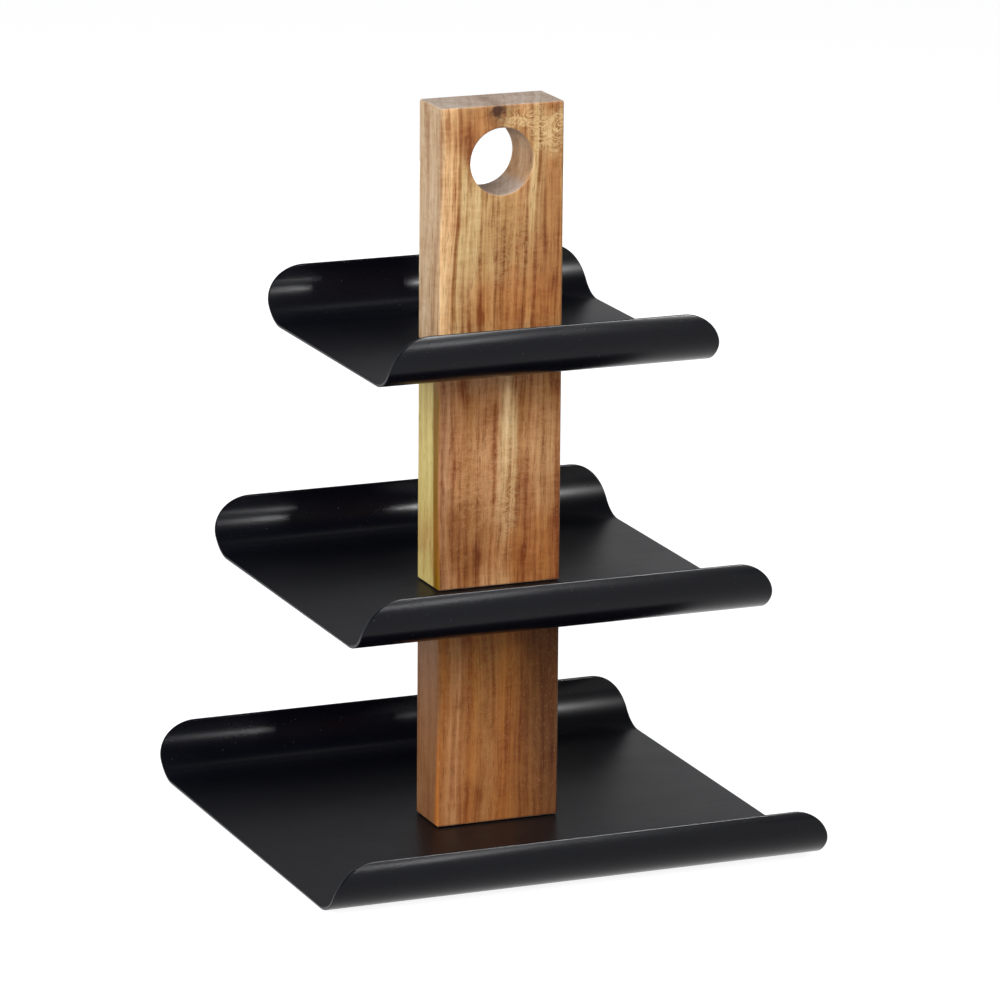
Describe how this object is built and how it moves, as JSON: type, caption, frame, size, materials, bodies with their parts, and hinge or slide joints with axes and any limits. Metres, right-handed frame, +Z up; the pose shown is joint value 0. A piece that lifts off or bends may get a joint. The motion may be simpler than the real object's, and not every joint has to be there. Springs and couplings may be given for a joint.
{
  "type": "tiered serving stand",
  "caption": "Tiered serving stand: steel trays with curled front and back edges, clamped between the wooden blocks of a flat post with a round grip hole at its top.",
  "frame": {"origin": "centre of the stand on the surface that its feet stand on, under the axis of the post", "axes": "+X along the trays' curled edges, +Y to the back, square to the post's wide faces, +Z up"},
  "size_m": [0.26, 0.257, 0.3695],
  "materials": {
    "tray_coat": "satin black powder coat",
    "post_wood": "oiled acacia",
    "hardware": "zinc plated",
    "foot_rubber": "matt"
  },
  "bodies": {
    "root": {"bottom_tray": "tray_coat", "middle_tray": "tray_coat", "top_tray": "tray_coat", "lower_block": "post_wood", "middle_block": "post_wood", "grip_block": "post_wood", "base_bolt": "hardware", "lower_stud": "hardware", "upper_stud": "hardware", "lower_block_foot_insert": "hardware", "lower_block_top_insert": "hardware", "middle_block_foot_insert": "hardware", "middle_block_top_insert": "hardware", "grip_block_foot_insert": "hardware", "foot_front_left": "foot_rubber", "foot_front_right": "foot_rubber", "foot_back_left": "foot_rubber", "foot_back_right": "foot_rubber"}
  },
  "joints": []
}
